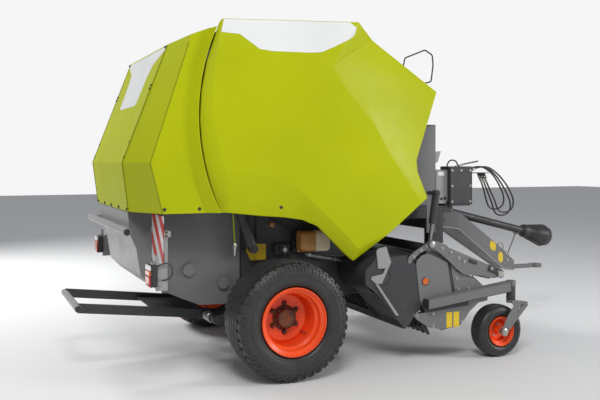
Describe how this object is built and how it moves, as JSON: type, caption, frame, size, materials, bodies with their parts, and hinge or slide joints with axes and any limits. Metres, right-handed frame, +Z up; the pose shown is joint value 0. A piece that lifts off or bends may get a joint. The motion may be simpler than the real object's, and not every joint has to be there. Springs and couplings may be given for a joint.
{
  "type": "round baler",
  "caption": "Towed round baler with a closed roller chamber, opening tailgate, tined pickup on castoring wheels, hinged side shields, drawbar and jack.",
  "frame": {"origin": "on the ground below the middle of the machine's length and width", "axes": "+X forwards, the way it is towed; +Y to its left side; +Z up"},
  "size_m": [4.6363, 2.39, 2.583],
  "materials": {
    "black_plastic": "matte",
    "bright_steel": "satin",
    "dark_grey_paint": "satin",
    "grey_paint": "satin",
    "lamp_red": "gloss",
    "lime_paint": "gloss",
    "orange_paint": "gloss",
    "tank_plastic": "satin",
    "tyre": "matte",
    "warning_white": "matte"
  },
  "bodies": {
    "chassis": {"axle": "dark_grey_paint", "side_wall_right": "dark_grey_paint", "side_wall_left": "dark_grey_paint", "front_rollers": "dark_grey_paint", "frame": "dark_grey_paint", "feed_floor": "dark_grey_paint", "hood": "lime_paint", "net_box": "grey_paint", "drawbar": "grey_paint", "jack_tube": "dark_grey_paint", "gearbox": "dark_grey_paint", "pto_shaft": "black_plastic", "ram_pins": "dark_grey_paint", "oil_tank": "tank_plastic", "roller_drive_right": "bright_steel", "roller_drive_left": "bright_steel", "valve_box": "dark_grey_paint", "hose_1": "black_plastic", "hose_2": "black_plastic", "hose_3": "black_plastic"},
    "tailgate": {"gate_walls": "dark_grey_paint", "gate_rollers": "dark_grey_paint", "gate_sheet": "grey_paint", "gate_shell": "lime_paint", "light_carrier": "dark_grey_paint", "hazard_boards": "warning_white", "rear_lamps": "lamp_red"},
    "pickup": {"pickup_frame": "dark_grey_paint", "pickup_side_right": "grey_paint", "pickup_side_left": "grey_paint"},
    "pickup_reel": {"pickup_reel": "dark_grey_paint"},
    "crop_guard": {"crop_guard": "grey_paint"},
    "feed_rotor": {"feed_rotor": "dark_grey_paint"},
    "bale_ramp": {"bale_ramp": "dark_grey_paint"},
    "jack_leg": {"jack_leg": "dark_grey_paint"},
    "net_door": {"net_door": "grey_paint"},
    "wheel_right": {"tyre_right": "tyre", "rim_right": "orange_paint"},
    "shield_right": {"shield_right": "lime_paint"},
    "castor_right": {"castor_fork_right": "grey_paint"},
    "gauge_wheel_right": {"gauge_tyre_right": "tyre", "gauge_rim_right": "orange_paint"},
    "gate_ram_barrel_right": {"gate_ram_barrel_right": "dark_grey_paint"},
    "gate_ram_rod_right": {"gate_ram_rod_right": "bright_steel"},
    "lift_ram_barrel_right": {"lift_ram_barrel_right": "dark_grey_paint"},
    "lift_ram_rod_right": {"lift_ram_rod_right": "bright_steel"},
    "wheel_left": {"tyre_left": "tyre", "rim_left": "orange_paint"},
    "shield_left": {"shield_left": "lime_paint"},
    "castor_left": {"castor_fork_left": "grey_paint"},
    "gauge_wheel_left": {"gauge_tyre_left": "tyre", "gauge_rim_left": "orange_paint"},
    "gate_ram_barrel_left": {"gate_ram_barrel_left": "dark_grey_paint"},
    "gate_ram_rod_left": {"gate_ram_rod_left": "bright_steel"},
    "lift_ram_barrel_left": {"lift_ram_barrel_left": "dark_grey_paint"},
    "lift_ram_rod_left": {"lift_ram_rod_left": "bright_steel"}
  },
  "joints": [
    {"name": "wheel_right_spin", "type": "hinge", "parent": "chassis", "child": "wheel_right", "pos_m": [-0.925, -1, 0.425], "axis": [0, 1, 0], "continuous": true},
    {"name": "wheel_left_spin", "type": "hinge", "parent": "chassis", "child": "wheel_left", "pos_m": [-0.925, 1, 0.425], "axis": [0, 1, 0], "continuous": true},
    {"name": "tailgate_hinge", "type": "hinge", "parent": "chassis", "child": "tailgate", "pos_m": [-1.19, 0, 2.45], "axis": [0, 1, 0], "range_deg": [0, 60]},
    {"name": "pickup_lift", "type": "hinge", "parent": "chassis", "child": "pickup", "pos_m": [-0.185, 0, 0.69], "axis": [0, -1, 0], "range_deg": [0, 9]},
    {"name": "gate_ram_pin_right", "type": "hinge", "parent": "chassis", "child": "gate_ram_barrel_right", "pos_m": [-1.075, -0.72, 0.9], "axis": [0, 1, 0], "range_deg": [-5.8, 0]},
    {"name": "gate_ram_slide_right", "type": "slide", "parent": "gate_ram_barrel_right", "child": "gate_ram_rod_right", "axis": [-0.3429, 0, 0.9394], "range_m": [0, 0.5931]},
    {"name": "gate_ram_pin_left", "type": "hinge", "parent": "chassis", "child": "gate_ram_barrel_left", "pos_m": [-1.075, 0.72, 0.9], "axis": [0, 1, 0], "range_deg": [-5.8, 0]},
    {"name": "gate_ram_slide_left", "type": "slide", "parent": "gate_ram_barrel_left", "child": "gate_ram_rod_left", "axis": [-0.3429, 0, 0.9394], "range_m": [0, 0.5931]},
    {"name": "lift_ram_pin_right", "type": "hinge", "parent": "chassis", "child": "lift_ram_barrel_right", "pos_m": [0.475, -0.79, 1.29], "axis": [0, 1, 0], "range_deg": [0, 8.38]},
    {"name": "lift_ram_slide_right", "type": "slide", "parent": "lift_ram_barrel_right", "child": "lift_ram_rod_right", "axis": [-0.1529, 0, -0.9882], "range_m": [-0.0839, 0]},
    {"name": "lift_ram_pin_left", "type": "hinge", "parent": "chassis", "child": "lift_ram_barrel_left", "pos_m": [0.475, 0.79, 1.29], "axis": [0, 1, 0], "range_deg": [0, 8.38]},
    {"name": "lift_ram_slide_left", "type": "slide", "parent": "lift_ram_barrel_left", "child": "lift_ram_rod_left", "axis": [-0.1529, 0, -0.9882], "range_m": [-0.0839, 0]},
    {"name": "shield_right_hinge", "type": "hinge", "parent": "chassis", "child": "shield_right", "pos_m": [-0.625, -0.905, 2.535], "axis": [-1, 0, 0], "range_deg": [0, 60]},
    {"name": "shield_left_hinge", "type": "hinge", "parent": "chassis", "child": "shield_left", "pos_m": [-0.625, 0.905, 2.535], "axis": [1, 0, 0], "range_deg": [0, 60]},
    {"name": "reel_spin", "type": "hinge", "parent": "pickup", "child": "pickup_reel", "pos_m": [0.3, 0, 0.505], "axis": [0, 1, 0], "continuous": true},
    {"name": "rotor_spin", "type": "hinge", "parent": "chassis", "child": "feed_rotor", "pos_m": [-0.185, 0, 0.69], "axis": [0, 1, 0], "continuous": true},
    {"name": "crop_guard_hinge", "type": "hinge", "parent": "pickup", "child": "crop_guard", "pos_m": [0.229, 0, 0.916], "axis": [0, -1, 0], "range_deg": [0, 6]},
    {"name": "castor_right_swivel", "type": "hinge", "parent": "pickup", "child": "castor_right", "pos_m": [0.96, -1.12, 0.437], "axis": [0, 0, 1], "range_deg": [-90, 90]},
    {"name": "gauge_wheel_right_spin", "type": "hinge", "parent": "castor_right", "child": "gauge_wheel_right", "pos_m": [0.86, -1.06, 0.205], "axis": [0, 1, 0], "continuous": true},
    {"name": "castor_left_swivel", "type": "hinge", "parent": "pickup", "child": "castor_left", "pos_m": [0.96, 1.12, 0.437], "axis": [0, 0, 1], "range_deg": [-90, 90]},
    {"name": "gauge_wheel_left_spin", "type": "hinge", "parent": "castor_left", "child": "gauge_wheel_left", "pos_m": [0.86, 1.06, 0.205], "axis": [0, 1, 0], "continuous": true},
    {"name": "bale_ramp_hinge", "type": "hinge", "parent": "chassis", "child": "bale_ramp", "pos_m": [-1.346, 0, 0.378], "axis": [0, -1, 0], "range_deg": [0, 20], "stiffness_Nm_per_rad": 600, "springref_deg": -68.75},
    {"name": "jack_slide", "type": "slide", "parent": "chassis", "child": "jack_leg", "axis": [0, 0, 1], "range_m": [0, 0.35]},
    {"name": "net_door_hinge", "type": "hinge", "parent": "chassis", "child": "net_door", "pos_m": [0.555, 0, 1.3], "axis": [0, 1, 0], "range_deg": [0, 85]}
  ],
  "couplings": [
    {"joint": "gate_ram_pin_right", "follows": "tailgate_hinge", "ratio": -0.0934},
    {"joint": "gate_ram_slide_right", "follows": "tailgate_hinge", "m_per_rad": 0.5635},
    {"joint": "gate_ram_pin_left", "follows": "tailgate_hinge", "ratio": -0.0934},
    {"joint": "gate_ram_slide_left", "follows": "tailgate_hinge", "m_per_rad": 0.5635},
    {"joint": "lift_ram_pin_right", "follows": "pickup_lift", "ratio": 0.9089},
    {"joint": "lift_ram_slide_right", "follows": "pickup_lift", "m_per_rad": -0.5148},
    {"joint": "lift_ram_pin_left", "follows": "pickup_lift", "ratio": 0.9089},
    {"joint": "lift_ram_slide_left", "follows": "pickup_lift", "m_per_rad": -0.5148}
  ]
}
